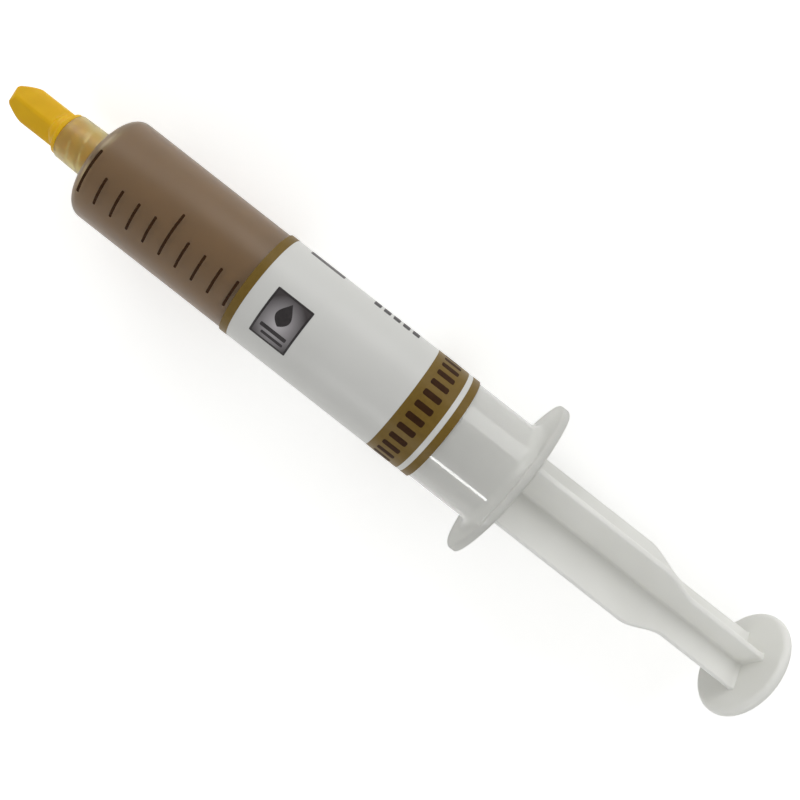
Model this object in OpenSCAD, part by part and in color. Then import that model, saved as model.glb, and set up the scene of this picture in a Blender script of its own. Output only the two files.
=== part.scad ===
// Silicone paste syringe of 20 ml with a capped lock fitting, lying on its side.
// The axis runs along X: the capped tip points to -X and the thumb disc to +X.
// Lengths along the axis count from the front of the shoulder, which is 0.

/* [Barrel] */
// Bore of the barrel
bore_d = 19; // [17:0.5:21]
// Thickness of the barrel's wall
barrel_wall = 1; // [0.8:0.1:1.4]
// Length of the barrel from its shoulder to the back of the finger flange
barrel_l = 93; // [88:0.2:110]
// Radius of the shoulder's outer corner
shoulder_r = 1.8; // [1:0.1:2]
// Depth from the shoulder to the rim of the bore's front cone
front_depth = 1.8; // [1.8:0.1:3]
// Height of the bore's front cone, which the seal's nose matches
cone_h = 0.7; // [0.4:0.1:1]
// Height of the bead in the bore that keeps the seal in
bead_h = 0.25; // [0.15:0.05:0.35]
// Distance from the back of the flange to the middle of the bead
bead_back = 4.2; // [3.2:0.2:6]

/* [Finger flange] */
// Span of the two wings
wing_span = 33; // [29:0.5:40]
// How far each flat stands out past the label
flat_out = 0.22; // [0.2:0.02:1.2]
// Length of each flat
flat_l = 6; // [4:0.5:10]
// Radius of the long edges
wing_edge_r = 21; // [19:0.5:30]
// Thickness of the flange
flange_t = 1.6; // [1.2:0.1:2.4]
// Fillet between the barrel and the flange
flange_fillet = 2.2; // [0.8:0.1:2.5]

/* [Lock fitting] */
// Length of the collar in front of the shoulder
collar_l = 8.6; // [7.6:0.1:10]
// Outer diameter of the collar at its mouth
collar_d = 9; // [9:0.1:10]
// How much wider the collar is at its root
collar_draft = 0.4; // [0:0.1:0.8]
// Inner diameter of the collar
collar_bore = 8; // [7.8:0.05:8.2]
// Thickness of the collar's floor
collar_floor = 1.2; // [0.8:0.1:1.6]
// Fillet between the collar and the shoulder
collar_fillet = 0.8; // [0.4:0.1:1.2]
// Diameter of the nozzle at its tip
nozzle_d = 4; // [3.9:0.05:4.1]
// Growth of the nozzle's diameter for each millimetre of length
nozzle_taper = 0.06; // [0.05:0.005:0.07]
// How far the nozzle stands out of the collar
nozzle_out = 2.1; // [1.5:0.1:3]
// Diameter of the paste channel
channel_d = 2.1; // [1.2:0.1:2.4]

/* [Tip cap] */
// Length of the cap in front of the collar
cap_l = 12.5; // [11:0.1:16]
// Width of the grip blade
blade_w = 7.2; // [6.4:0.1:8.4]
// Thickness of the blade at its middle ridge
blade_t = 4.4; // [3.6:0.1:5]
// Thickness of the blade at its edges
blade_edge_t = 1.7; // [1:0.1:2.4]
// Width of the blade's flat end
blade_end_w = 3.2; // [2:0.1:4]
// Length of the slanted corners at the blade's end
blade_corner_l = 3.4; // [2:0.1:5]
// Diameter of the cap's ring
cap_ring_d = 8.5; // [8.2:0.1:9]
// Length of the ring's straight part
cap_ring_l = 0.7; // [0.4:0.1:1.2]
// Length of the flare between the blade and the ring
cap_flare_l = 1.1; // [0.6:0.1:1.6]
// Length of the plug that fills the collar's mouth
plug_l = 1.5; // [0.8:0.1:2]
// Outer diameter of the skirt that enters the collar
skirt_d = 6.6; // [6.4:0.05:6.8]
// Height of the two locking lugs above the skirt
lug_h = 0.28; // [0.1:0.02:0.3]
// Width of each lug
lug_w = 3; // [2:0.1:4]

/* [Paste] */
// Volume of paste in front of the seal, in millilitres
paste_ml = 13; // [6:0.5:18]

/* [Seal] */
// Length of the seal behind its nose
seal_l = 8; // [7:0.1:10]
// Length of each sealing lip
lip_l = 1.6; // [1:0.1:2]
// Depth of the groove between the lips
seal_groove = 0.5; // [0.2:0.1:0.8]

/* [Plunger] */
// Length of the rod from the seal to the thumb disc
rod_l = 90.1; // [84:0.1:110]
// Reach of the ribs from the axis along the wide part
rib_reach = 8.75; // [7:0.05:9]
// Reach of the ribs from the axis along the slim part
slim_reach = 5.9; // [4:0.1:7]
// Length of the slim part, in front of the thumb disc
slim_l = 15.1; // [10:0.1:30]
// Length of the curve from the wide part to the slim one
neck_l = 8.9; // [5:0.1:14]
// Thickness of the ribs
rib_t = 1.3; // [1:0.1:2]
// Turn of the rod about its axis, in degrees
rod_turn = -43; // [-90:1:90]
// Diameter of the thumb disc
thumb_d = 20.9; // [18:0.1:21.8]
// Thickness of the thumb disc
thumb_t = 1.8; // [1.6:0.1:2.6]
// Radius of the thumb disc's rim
thumb_rim_r = 0.6; // [0.3:0.1:0.75]
// Diameter of the head that snaps into the seal
head_d = 9; // [7:0.1:11]
// Length of the head
head_l = 2.4; // [1.8:0.1:3]
// Diameter of the stem behind the head
stem_d = 6.2; // [4:0.1:6.6]
// Diameter of the disc that pushes the seal
pusher_d = 17.2; // [14:0.1:17.4]
// Thickness of the disc that pushes the seal
pusher_t = 1.2; // [0.8:0.1:2]

/* [Label] */
// Distance from the shoulder to the label
label_start = 34.5; // [28:0.5:44]
// Length of the label
label_l = 42.8; // [36:0.2:46]
// Thickness of the label's film
label_t = 0.25; // [0.1:0.05:0.35]
// Width of the gold stripe at the front end
front_stripe_w = 1.6; // [0.8:0.1:3]
// Width of the gold stripe at the back end
back_stripe_w = 1.5; // [0.8:0.1:3]
// Width of the white stripe between the back stripe and the gold band
white_stripe_w = 1; // [0.5:0.1:2]
// Width of the gold band
band_w = 6.8; // [4:0.1:9]
// Length of the badge panel along the axis
badge_l = 7.6; // [5:0.1:10]
// Distance from the label's front end to the badge panel
badge_start = 5; // [3:0.1:8]
// Turn of the badge's two ends from the top, in degrees
badge_turn = [-20, 31]; // [-90:1:90]
// Width of the badge's frame
badge_frame_w = 0.4; // [0.3:0.1:1.2]

/* [Scale] */
// Width of a scale line along the axis
line_w = 0.5; // [0.3:0.05:0.8]
// Turn of a short line's two ends from the top, in degrees
short_turn = [-0.7, 29.7]; // [-90:0.1:90]
// Turn of a long line's two ends from the top, in degrees
long_turn = [-18.4, 29.7]; // [-90:0.1:90]

/* [Fits] */
// Radial clearance of the seal in the bore
seal_gap = 0.05; // [0.02:0.01:0.08]
// Clearance between the plunger's head and its socket in the seal
head_gap = 0.1; // [0.05:0.01:0.2]
// Clearance between the nozzle and the cap's socket
socket_gap = 0.04; // [0.02:0.01:0.08]
// Gap between the cap's ring and the collar's mouth
cap_gap = 0.1; // [0.05:0.01:0.3]
// Radial gap between the cap's plug and the collar's bore
plug_gap = 0.1; // [0.05:0.01:0.2]
// Gap around the paste
paste_gap = 0.03; // [0.02:0.01:0.05]
// Gap under the label
label_gap = 0.03; // [0.02:0.01:0.05]
// Thickness of printed ink
ink_t = 0.05; // [0.03:0.01:0.08]
// Gap under printed ink
ink_gap = 0.01; // [0.01:0.01:0.02]

/* [Hidden] */
$fn = 96;

// Overlap that joins two solids of one moulding
lap = 0.1;
// Overrun of a cut past the face it opens
over = 1;

bore_r = bore_d / 2;
barrel_r = bore_r + barrel_wall;
channel_r = channel_d / 2;
bead_section_r = 0.6;
mouth_chamfer = 0.4;
label_in_r = barrel_r + label_gap;
label_r = label_in_r + label_t;

flange_s = barrel_l - flange_t;
flange_depth = 2 * (label_r + flat_out);
// The long edges run into the ends of the flats
wing_edge_shift = sqrt(wing_edge_r * wing_edge_r - flat_l * flat_l / 4) - flange_depth / 2;

collar_r = collar_d / 2;
collar_root_r = collar_r + collar_draft / 2;
collar_in_r = collar_bore / 2;
nozzle_l = collar_l + nozzle_out;

// Radius of the nozzle at place s on the axis
function nozzle_r(s) = (nozzle_d + nozzle_taper * (s + nozzle_l)) / 2;

// The seal stands where the paste's volume puts it
ml_pitch = 1000 / (PI * bore_r * bore_r);
seal_s = front_depth + paste_ml * ml_pitch;
seal_back = seal_s + seal_l;
seal_r = bore_r - seal_gap;
// How far the paste ends inside the nozzle
paste_inset = 0.3;
throat_l = 1.6;
head_s = seal_back - throat_l - head_l;
rod_s = seal_back + head_gap;
thumb_s = rod_s + rod_l;

ring_back = -collar_l - cap_gap;
ring_front = ring_back - cap_ring_l - cap_flare_l;
cap_tip = -collar_l - cap_l;
skirt_floor_gap = 0.8;
skirt_end = -collar_floor - skirt_floor_gap;
plug_r = collar_in_r - plug_gap;
plug_end = ring_back + plug_l;
plug_chamfer = 0.3;
nozzle_tip_gap = 0.15;
socket_end = -nozzle_l - nozzle_tip_gap;
boss_wall = 0.7;
boss_r = nozzle_d / 2 + socket_gap + boss_wall;
boss_cover = 1;
boss_end = socket_end - boss_cover;
// Width and length of the boss's sloping end
boss_slope = [0.5, 0.8];
lug_l = 1.2;
lug_root = 0.3;

// Half width of the blade's ridge
ridge_w = 0.3;
// Width and height of the slope beside the blade's edge
blade_bevel = [0.8, 0.35];
// Cut at the blade's edges, also where the corners start
edge_cut = 0.25;
corner_soft = 0.4;
// Cuts at the flat end
end_cut = [0.5, 0.35];
end_inset = 0.3;
blade_nose_r = 1.4;

label_end = label_start + label_l;
badge_s = label_start + badge_start;

// The origin is under the middle of the whole syringe, on the flange's lower flat
mid_s = (cap_tip + thumb_s + thumb_t) / 2;
axis_h = flange_depth / 2;

// Points of an arc about c, from angle a to angle b
function arc(c, r, a, b, n = 8) = [for (i = [0:n]) c + r * [cos(a + (b - a) * i / n), sin(a + (b - a) * i / n)]];

// Rises from 0 to 1 with level ends
function ease(t) = t * t * (3 - 2 * t);

module placed() translate([-mid_s, 0, axis_h]) children();

// Turns a profile of [radius, place on the axis] about the syringe's axis
module turned() rotate([0, 90, 0]) rotate_extrude() children();

// A thin patch on a cylinder, between two turns from the top towards -Y
module patch(s, l, r, t, turn)
    translate([s, 0, 0]) rotate([0, 90, 0]) rotate([0, 0, 180 + turn[0]])
        rotate_extrude(angle = turn[1] - turn[0]) translate([r, 0]) square([t, l]);

module ring(s, l, r, t) translate([s, 0, 0]) turned() translate([r, 0]) square([t, l]);

// Barrel

module barrel_profile() {
    // Wall with a rounded shoulder
    translate([0, shoulder_r]) square([barrel_r, barrel_l - shoulder_r]);
    square([barrel_r - shoulder_r, barrel_l]);
    translate([barrel_r - shoulder_r, shoulder_r]) circle(shoulder_r);
    // Collar, hollow down to its floor
    difference() {
        polygon([[0, lap], [collar_root_r, lap], [collar_root_r, 0], [collar_r, -collar_l], [0, -collar_l]]);
        translate([0, -collar_l - over]) square([collar_in_r, collar_l + over - collar_floor]);
    }
    // Fillet at the collar's root
    difference() {
        translate([collar_root_r - lap, -collar_fillet]) square([collar_fillet + lap, collar_fillet + lap]);
        translate([collar_root_r + collar_fillet, -collar_fillet]) circle(collar_fillet);
    }
    // Tapered nozzle
    polygon([[0, 0], [nozzle_r(0), 0], [nozzle_r(-nozzle_l), -nozzle_l], [0, -nozzle_l]]);
}

module bore_profile() {
    difference() {
        polygon([
            [0, -nozzle_l - over], [channel_r, -nozzle_l - over], [channel_r, front_depth - cone_h],
            [bore_r, front_depth], [bore_r, barrel_l - mouth_chamfer], [bore_r + mouth_chamfer, barrel_l],
            [bore_r + mouth_chamfer, barrel_l + over], [0, barrel_l + over]
        ]);
        translate([bore_r - bead_h + bead_section_r, barrel_l - bead_back]) circle(bead_section_r);
    }
}

module flange_outline() {
    intersection() {
        circle(wing_span / 2);
        translate([wing_edge_shift, 0]) circle(wing_edge_r);
        translate([-wing_edge_shift, 0]) circle(wing_edge_r);
        square([flange_depth, wing_span], center = true);
    }
}

module flange_block(s, t) translate([s, 0, 0]) rotate([0, 90, 0]) linear_extrude(t) flange_outline();

module barrel() color("gainsboro") placed() {
    difference() {
        union() {
            turned() barrel_profile();
            flange_block(flange_s, flange_t);
            intersection() {
                flange_block(flange_s - flange_fillet, flange_fillet + lap);
                turned() difference() {
                    translate([barrel_r - lap, flange_s - flange_fillet])
                        square([flange_fillet + lap, flange_fillet + lap]);
                    translate([barrel_r + flange_fillet, flange_s - flange_fillet]) circle(flange_fillet);
                }
            }
        }
        turned() bore_profile();
    }
}

// Tip cap

// Half of the blade's section, from the ridge out to the edge
function blade_side(w, t, e) = [
    [ridge_w, t], [w - blade_bevel.x, e + blade_bevel.y], [w - edge_cut, e], [w, e - blade_bevel.y]
];

module blade_section() {
    half = blade_side(blade_w / 2, blade_t / 2, blade_edge_t / 2);
    n = len(half) - 1;
    polygon(concat(
        half,
        [for (i = [n:-1:0]) [half[i].x, -half[i].y]],
        [for (i = [0:n]) [-half[i].x, -half[i].y]],
        [for (i = [n:-1:0]) [-half[i].x, half[i].y]]
    ));
}

// The blade seen from above, with slanted corners at its end
module blade_plan() {
    w = blade_w / 2;
    e = blade_end_w / 2;
    corner = cap_tip + blade_corner_l;
    side = [
        [ring_back, w], [corner + corner_soft, w], [corner - corner_soft, w - edge_cut],
        [cap_tip + end_cut.x, e + end_cut.y], [cap_tip, e - end_inset]
    ];
    n = len(side) - 1;
    polygon(concat(side, [for (i = [n:-1:0]) [side[i].x, -side[i].y]]));
}

// The blade seen from the side, with a rounded end
module blade_rise() {
    t = blade_t / 2;
    r = blade_nose_r;
    polygon(concat(
        [[ring_back, t + lap]], arc([cap_tip + r, t - r], r, 90, 180),
        arc([cap_tip + r, r - t], r, 180, 270), [[ring_back, -t - lap]]
    ));
}

module blade() {
    intersection() {
        translate([0, 0, -blade_t]) linear_extrude(2 * blade_t) blade_plan();
        translate([cap_tip, 0, 0]) rotate([90, 0, 90]) linear_extrude(ring_back - cap_tip) blade_section();
        rotate([90, 0, 0]) translate([0, 0, -blade_w]) linear_extrude(2 * blade_w) blade_rise();
    }
}

module cap_ring_profile() {
    r = cap_ring_d / 2;
    // Ring and its hollow flare
    difference() {
        translate([0, ring_front]) square([r, cap_ring_l + cap_flare_l]);
        translate([r, ring_front]) circle(cap_flare_l);
    }
    // Boss that holds the end of the socket
    polygon([
        [0, boss_end], [boss_r - boss_slope.x, boss_end], [boss_r, boss_end + boss_slope.y],
        [boss_r, ring_back], [0, ring_back]
    ]);
    // Plug in the collar's mouth
    polygon([
        [0, ring_back - lap], [plug_r, ring_back - lap], [plug_r, plug_end - plug_chamfer],
        [plug_r - plug_chamfer, plug_end], [0, plug_end]
    ]);
    // Skirt inside the collar
    translate([0, ring_back - lap]) square([skirt_d / 2, skirt_end - ring_back + lap]);
}

module socket_profile() {
    polygon([
        [0, socket_end], [nozzle_r(socket_end) + socket_gap, socket_end],
        [nozzle_r(skirt_end + over) + socket_gap, skirt_end + over], [0, skirt_end + over]
    ]);
}

module lugs() {
    intersection() {
        translate([skirt_end - lug_l, -lug_w / 2, -skirt_d]) cube([lug_l, lug_w, 2 * skirt_d]);
        ring(skirt_end - lug_l, lug_l, skirt_d / 2 - lug_root, lug_root + lug_h);
    }
}

module tip_cap() color("goldenrod") placed() {
    difference() {
        union() {
            blade();
            turned() cap_ring_profile();
            lugs();
        }
        turned() socket_profile();
    }
}

// Contents and plunger

module paste() color([0.5, 0.42, 0.33]) placed() {
    g = paste_gap;
    front = paste_inset - nozzle_l;
    turned() polygon([
        [0, front], [channel_r - g, front], [channel_r - g, front_depth - cone_h + g],
        [bore_r - g, front_depth + g], [bore_r - g, seal_s - g], [channel_r, seal_s - cone_h - g],
        [0, seal_s - cone_h - g]
    ]);
}

module seal_socket_profile() {
    g = head_gap;
    translate([0, head_s - g]) square([head_d / 2 + g, head_l + 2 * g]);
    translate([0, head_s]) square([stem_d / 2 + g, seal_back - head_s + over]);
}

module seal_profile() {
    // Nose and body
    polygon([
        [0, seal_s - cone_h], [channel_r, seal_s - cone_h], [seal_r, seal_s],
        [seal_r - seal_groove, seal_s], [seal_r - seal_groove, seal_back], [0, seal_back]
    ]);
    // Lips at both ends, each with a rounded inner edge
    for (s = [seal_s, seal_back - lip_l])
        translate([0, s]) square([seal_r, lip_l]);
    for (s = [seal_s + lip_l, seal_back - lip_l])
        translate([seal_r - seal_groove, s]) circle(seal_groove);
}

module piston_seal() color([0.2, 0.2, 0.22]) placed() {
    turned() difference() {
        seal_profile();
        seal_socket_profile();
    }
}

// Outline of one rib on its upper side, from the pusher disc into the thumb disc
function rib_edge(n = 12) = concat(
    [[rod_s + pusher_t - lap, rib_reach]],
    [for (i = [0:n]) [
        thumb_s - slim_l - neck_l * (1 - i / n),
        rib_reach + (slim_reach - rib_reach) * ease(i / n)
    ]],
    [[thumb_s + lap, slim_reach]]
);

module rib() {
    edge = rib_edge();
    n = len(edge) - 1;
    rotate([90, 0, 0]) translate([0, 0, -rib_t / 2]) linear_extrude(rib_t)
        polygon(concat(edge, [for (i = [n:-1:0]) [edge[i].x, -edge[i].y]]));
}

module thumb_profile() {
    r = thumb_d / 2;
    e = thumb_rim_r;
    translate([0, thumb_s]) square([r - e, thumb_t]);
    translate([0, thumb_s + e]) square([r, thumb_t - 2 * e]);
    for (s = [thumb_s + e, thumb_s + thumb_t - e])
        translate([r - e, s]) circle(e);
}

module plunger() color("whitesmoke") placed() {
    turned() {
        translate([0, head_s]) square([head_d / 2, head_l]);
        translate([0, head_s + lap]) square([stem_d / 2, rod_s - head_s]);
        translate([0, rod_s]) square([pusher_d / 2, pusher_t]);
        thumb_profile();
    }
    for (turn = [0, 90])
        rotate([rod_turn + turn, 0, 0]) rib();
}

// Label and print

module label() color([0.9, 0.9, 0.88]) placed() ring(label_start, label_l, label_in_r, label_t);

module label_bands() color([0.55, 0.43, 0.24]) placed() {
    r = label_r + ink_gap;
    back_s = label_end - back_stripe_w;
    band_s = back_s - white_stripe_w - band_w;
    ring(label_start, front_stripe_w, r, ink_t);
    ring(band_s, band_w, r, ink_t);
    ring(back_s, back_stripe_w, r, ink_t);
}

// Turn in degrees that spans a length around the label
function label_span(l) = l / label_r * 180 / PI;

module badge_frame() color([0.22, 0.2, 0.19]) placed() {
    w = badge_frame_w;
    a = label_span(w);
    difference() {
        patch(badge_s, badge_l, label_r + ink_gap, ink_t, badge_turn);
        patch(badge_s + w, badge_l - 2 * w, label_r, over, badge_turn + [a, -a]);
    }
}

module badge_field() color([0.62, 0.62, 0.6]) placed() {
    w = badge_frame_w + ink_gap;
    a = label_span(w);
    patch(badge_s + w, badge_l - 2 * w, label_r + ink_gap, ink_t, badge_turn + [a, -a]);
}

// One line for each millilitre that the label leaves in view, with every fifth one long
module scale_marks() color([0.22, 0.15, 0.1]) placed() {
    last = floor((label_start - front_depth - line_w) / ml_pitch);
    for (i = [0:last])
        patch(
            front_depth + i * ml_pitch - line_w / 2, line_w, barrel_r + ink_gap, ink_t,
            i % 5 == 0 ? long_turn : short_turn
        );
}

barrel();
tip_cap();
paste();
piston_seal();
plunger();
label();
label_bands();
badge_frame();
badge_field();
scale_marks();
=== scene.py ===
# Silicone paste syringe: a clear barrel full of grey-brown paste, a yellow tip cap, a white and gold label
# and a milky plunger with crossed ribs. Lengths are in millimetres. "Place" is the distance along the axis
# from the front of the shoulder, and "turn" is the angle about the axis from the top towards -Y.
import bmesh
import bpy
import math
from mathutils import Euler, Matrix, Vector


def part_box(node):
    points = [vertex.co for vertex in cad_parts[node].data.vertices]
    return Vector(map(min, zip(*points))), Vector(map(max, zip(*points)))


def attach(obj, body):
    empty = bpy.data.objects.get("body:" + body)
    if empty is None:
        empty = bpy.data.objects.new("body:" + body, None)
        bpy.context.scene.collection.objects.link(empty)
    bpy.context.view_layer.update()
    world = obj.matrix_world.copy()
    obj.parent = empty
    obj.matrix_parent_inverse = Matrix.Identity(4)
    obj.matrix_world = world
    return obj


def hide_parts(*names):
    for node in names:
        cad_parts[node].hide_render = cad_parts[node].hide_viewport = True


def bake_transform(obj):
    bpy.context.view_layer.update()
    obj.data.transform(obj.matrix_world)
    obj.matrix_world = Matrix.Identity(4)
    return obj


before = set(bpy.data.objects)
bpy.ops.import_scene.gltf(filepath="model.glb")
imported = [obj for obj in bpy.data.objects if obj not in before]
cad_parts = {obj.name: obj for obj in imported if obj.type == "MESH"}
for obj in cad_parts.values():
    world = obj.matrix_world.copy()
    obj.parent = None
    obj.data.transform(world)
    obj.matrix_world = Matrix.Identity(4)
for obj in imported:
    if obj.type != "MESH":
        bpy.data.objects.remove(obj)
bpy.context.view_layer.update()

MM = 0.001

# Barrel
BORE_R = 9.5
BARREL_R = 10.5
BARREL_L = 93
SHOULDER_R = 1.8
FRONT_DEPTH = 1.8
CONE_H = 0.7
CHANNEL_R = 1.05
BORE_FILLET = 0.4
BEAD_H = 0.25
BEAD_BACK = 4.2
FLANGE_T = 1.6
FLANGE_FILLET = 2.2
WING_SPAN = 33
FLANGE_DEPTH = 22
FLAT_L = 6
WING_EDGE_R = 21
COLLAR_L = 8.6
COLLAR_R = 4.5
COLLAR_ROOT_R = 4.7
COLLAR_IN_R = 4
COLLAR_FLOOR = 1.2
COLLAR_FILLET = 0.8
NOZZLE_OUT = 2.1
NOZZLE_END = -COLLAR_L - NOZZLE_OUT
NOZZLE_R = 2
NOZZLE_SLOPE = 0.03
THREAD_H = 0.34
THREAD_W = 0.9
THREAD_LEAD = 5.08
THREAD_STARTS = 2
THREAD_PHASE = 0.126

# Tip cap
CAP_L = 12.5
BLADE_W = 7.2
BLADE_T = 4.4
BLADE_EDGE_T = 1.7
BLADE_END_W = 3.2
BLADE_CORNER_L = 3.5
CAP_RING_R = 4.25
CAP_RING_L = 0.7
CAP_FLARE_L = 1.1
CAP_GAP = 0.1
PLUG_R = 3.9
PLUG_L = 1.5
SKIRT_R = 3.3
LUG_H = 0.28
LUG_W = 3
SOCKET_GAP = 0.04
SOCKET_END = NOZZLE_END - 0.15
BOSS_L = 1

# Plunger and seal
RIB_REACH = 8.75
SLIM_REACH = 5.9
SLIM_L = 15.1
NECK_L = 8.9
RIB_T = 1.3
ROD_TURN = -43
THUMB_R = 10.45
THUMB_T = 1.8
PUSHER_R = 8.6
PUSHER_T = 1.2
HEAD_R = 4.5
HEAD_L = 2.4
STEM_R = 3.1
HEAD_GAP = 0.1
SEAL_L = 8
SEAL_R = 9.45
LIP_L = 1.6
GROOVE = 0.5

# Label and print
LABEL_START = 34.5
LABEL_L = 42.8
LABEL_R = 10.78
FILM_T = 0.24
SEAM_TURN = 140
LAP_TURN = 12
LAP_RISE = 0.12
# The ink's thickness, and how far the outer face of each layer stands above the film
INK_T = 0.05
INK_OUT = 0.03
BAR_OUT = 0.05
GROUND_OUT = 0.045
GROUND_T = 0.04
MARK_OUT = 0.06
# Widths are along the syringe
FRONT_STRIPE_W = 1.6
BACK_STRIPE_W = 1.5
WHITE_STRIPE_W = 1
BAND_W = 6.8
BADGE_PLACE = 39.5
BADGE_L = 7.6
BADGE_TURN = (-20, 31)
BADGE_FRAME_W = 0.4
BAR_COUNT = 28
BAR_TURN = (-4.4, 2)
MARK_CORNER = 0.2
LINE_W = 0.5
SHORT_TURN = (-0.7, 29.7)
LONG_TURN = (-18.4, 29.7)
ML_PITCH = 1000 / (math.pi * BORE_R ** 2)

# Places that the frame gives
SHOULDER_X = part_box("barrel")[1].x - BARREL_L * MM
AXIS_Z = (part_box("barrel")[0].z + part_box("barrel")[1].z) / 2
SEAL_BACK = (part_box("piston_seal")[1].x - SHOULDER_X) / MM
SEAL_S = SEAL_BACK - SEAL_L
THUMB_S = (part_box("plunger")[1].x - SHOULDER_X) / MM - THUMB_T
ROD_S = SEAL_BACK + HEAD_GAP
HEAD_S = SEAL_BACK - 4


# Shapes

def spot(place, radius, turn):
    """The point in the frame, in metres, at a place, a radius and a turn in radians."""
    reach = radius * MM
    return Vector((SHOULDER_X + place * MM, -reach * math.sin(turn), AXIS_Z + reach * math.cos(turn)))


def arc(place, radius, bend, start, end, count=6):
    """Rows along a round edge: its centre, its own radius, and its two angles from the axis in degrees."""
    turns = [math.radians(start + (end - start) * i / count) for i in range(count + 1)]
    return [(place + bend * math.cos(t), radius + bend * math.sin(t)) for t in turns]


def grid_rows(start, end, count, radius):
    """Rows evenly spaced between two places, with a radius that is a function of place and turn."""
    places = [start + (end - start) * i / count for i in range(count + 1)]
    return [(p, (lambda turn, p=p: radius(p, turn))) for p in places]


def finish_mesh(name, build, sharp=32):
    """Turns a bmesh into an object with smooth faces and sharp edges past an angle."""
    bmesh.ops.remove_doubles(build, verts=build.verts, dist=1e-8)
    bmesh.ops.recalc_face_normals(build, faces=build.faces)
    mesh = bpy.data.meshes.new(name)
    build.to_mesh(mesh)
    build.free()
    mesh.shade_smooth()
    mesh.set_sharp_from_angle(angle=math.radians(sharp))
    piece = bpy.data.objects.new(name, mesh)
    bpy.context.scene.collection.objects.link(piece)
    return piece


def turned(name, rows, closed=False, steps=240, sharp=32):
    """A body turned about the axis. A row is (place, radius), and the radius may be a function of the turn.
    A radius of 0 closes an end in one point, and closed joins the last row to the first."""
    build = bmesh.new()
    rings = []
    for place, radius in rows:
        if radius == 0:
            rings.append([build.verts.new(spot(place, 0, 0))] * steps)
            continue
        size = radius if callable(radius) else (lambda turn, r=radius: r)
        angles = [2 * math.pi * i / steps for i in range(steps)]
        rings.append([build.verts.new(spot(place, size(a), a)) for a in angles])
    pairs = list(zip(rings, rings[1:]))
    if closed:
        pairs.append((rings[-1], rings[0]))
    for low, high in pairs:
        for i in range(steps):
            j = (i + 1) % steps
            corners = [low[i], low[j], high[j], high[i]]
            corners = [c for k, c in enumerate(corners) if c not in corners[:k]]
            build.faces.new(corners)
    return finish_mesh(name, build, sharp)


def plain_mesh(piece):
    """Replaces a piece's mesh by the result of its modifiers, and removes them."""
    mesh = bpy.data.meshes.new_from_object(piece.evaluated_get(bpy.context.evaluated_depsgraph_get()))
    mesh.name = piece.name
    mesh.shade_smooth()
    mesh.set_sharp_from_angle(angle=math.radians(32))
    piece.modifiers.clear()
    piece.data = mesh
    return piece


def dress(piece, finish, slot, body, *nodes):
    """Gives a piece its material, lets it stand for CAD nodes, and puts it on its body. The slot is not used.
    """
    piece.data.materials.clear()
    piece.data.materials.append(finish)
    if nodes:
        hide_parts(*nodes)
    if body:
        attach(piece, body)


def ease(t):
    """Rises from 0 to 1 with level ends, and stays there outside."""
    t = min(max(t, 0), 1)
    return t * t * (3 - 2 * t)


def soft_pick(sizes, power):
    """The largest of some radii, or with a negative power the least, with round corners between them."""
    return sum(s ** power for s in sizes) ** (1 / power)


def nozzle_r(place):
    """Radius of the nozzle's cone."""
    return NOZZLE_R + NOZZLE_SLOPE * (place - NOZZLE_END)


def node(tree, kind, links=(), **settings):
    """Adds a node with its settings. Each link is an input and the value or source socket that it gets."""
    made = tree.nodes.new(kind)
    for name, value in settings.items():
        setattr(made, name, value)
    for name, source in links:
        if isinstance(source, bpy.types.NodeSocket):
            tree.links.new(source, made.inputs[name])
        else:
            made.inputs[name].default_value = source
    return made


# Barrel

def flange_reach(turn):
    """Radius of the finger flange: a lens of two long edges, cut by a circle and two flats."""
    shift = math.sqrt(WING_EDGE_R ** 2 - FLAT_L ** 2 / 4) - FLANGE_DEPTH / 2
    up = abs(math.cos(turn))
    edge = math.sqrt(WING_EDGE_R ** 2 - (shift * math.sin(turn)) ** 2) - shift * up
    flat = FLANGE_DEPTH / 2 / max(up, 0.1)
    tip_power = -34
    return min(flat, soft_pick((WING_SPAN / 2, edge), tip_power))


def thread_r(place, turn):
    """Radius of the collar's bore with the raised thread, which fades out at both ends."""
    from_floor, from_mouth, fade, flank = 0.4, 1.7, 0.8, 1.4
    phase = ((place / THREAD_LEAD - turn / (2 * math.pi)) * THREAD_STARTS + THREAD_PHASE) % 1
    across = abs(phase - 0.5) * THREAD_LEAD / THREAD_STARTS * 2 / THREAD_W
    ends = min(-place - COLLAR_FLOOR - from_floor, place + COLLAR_L - from_mouth) / fade
    return COLLAR_IN_R - THREAD_H * (1 - ease(across * flank - flank + 1)) * ease(ends)


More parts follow.
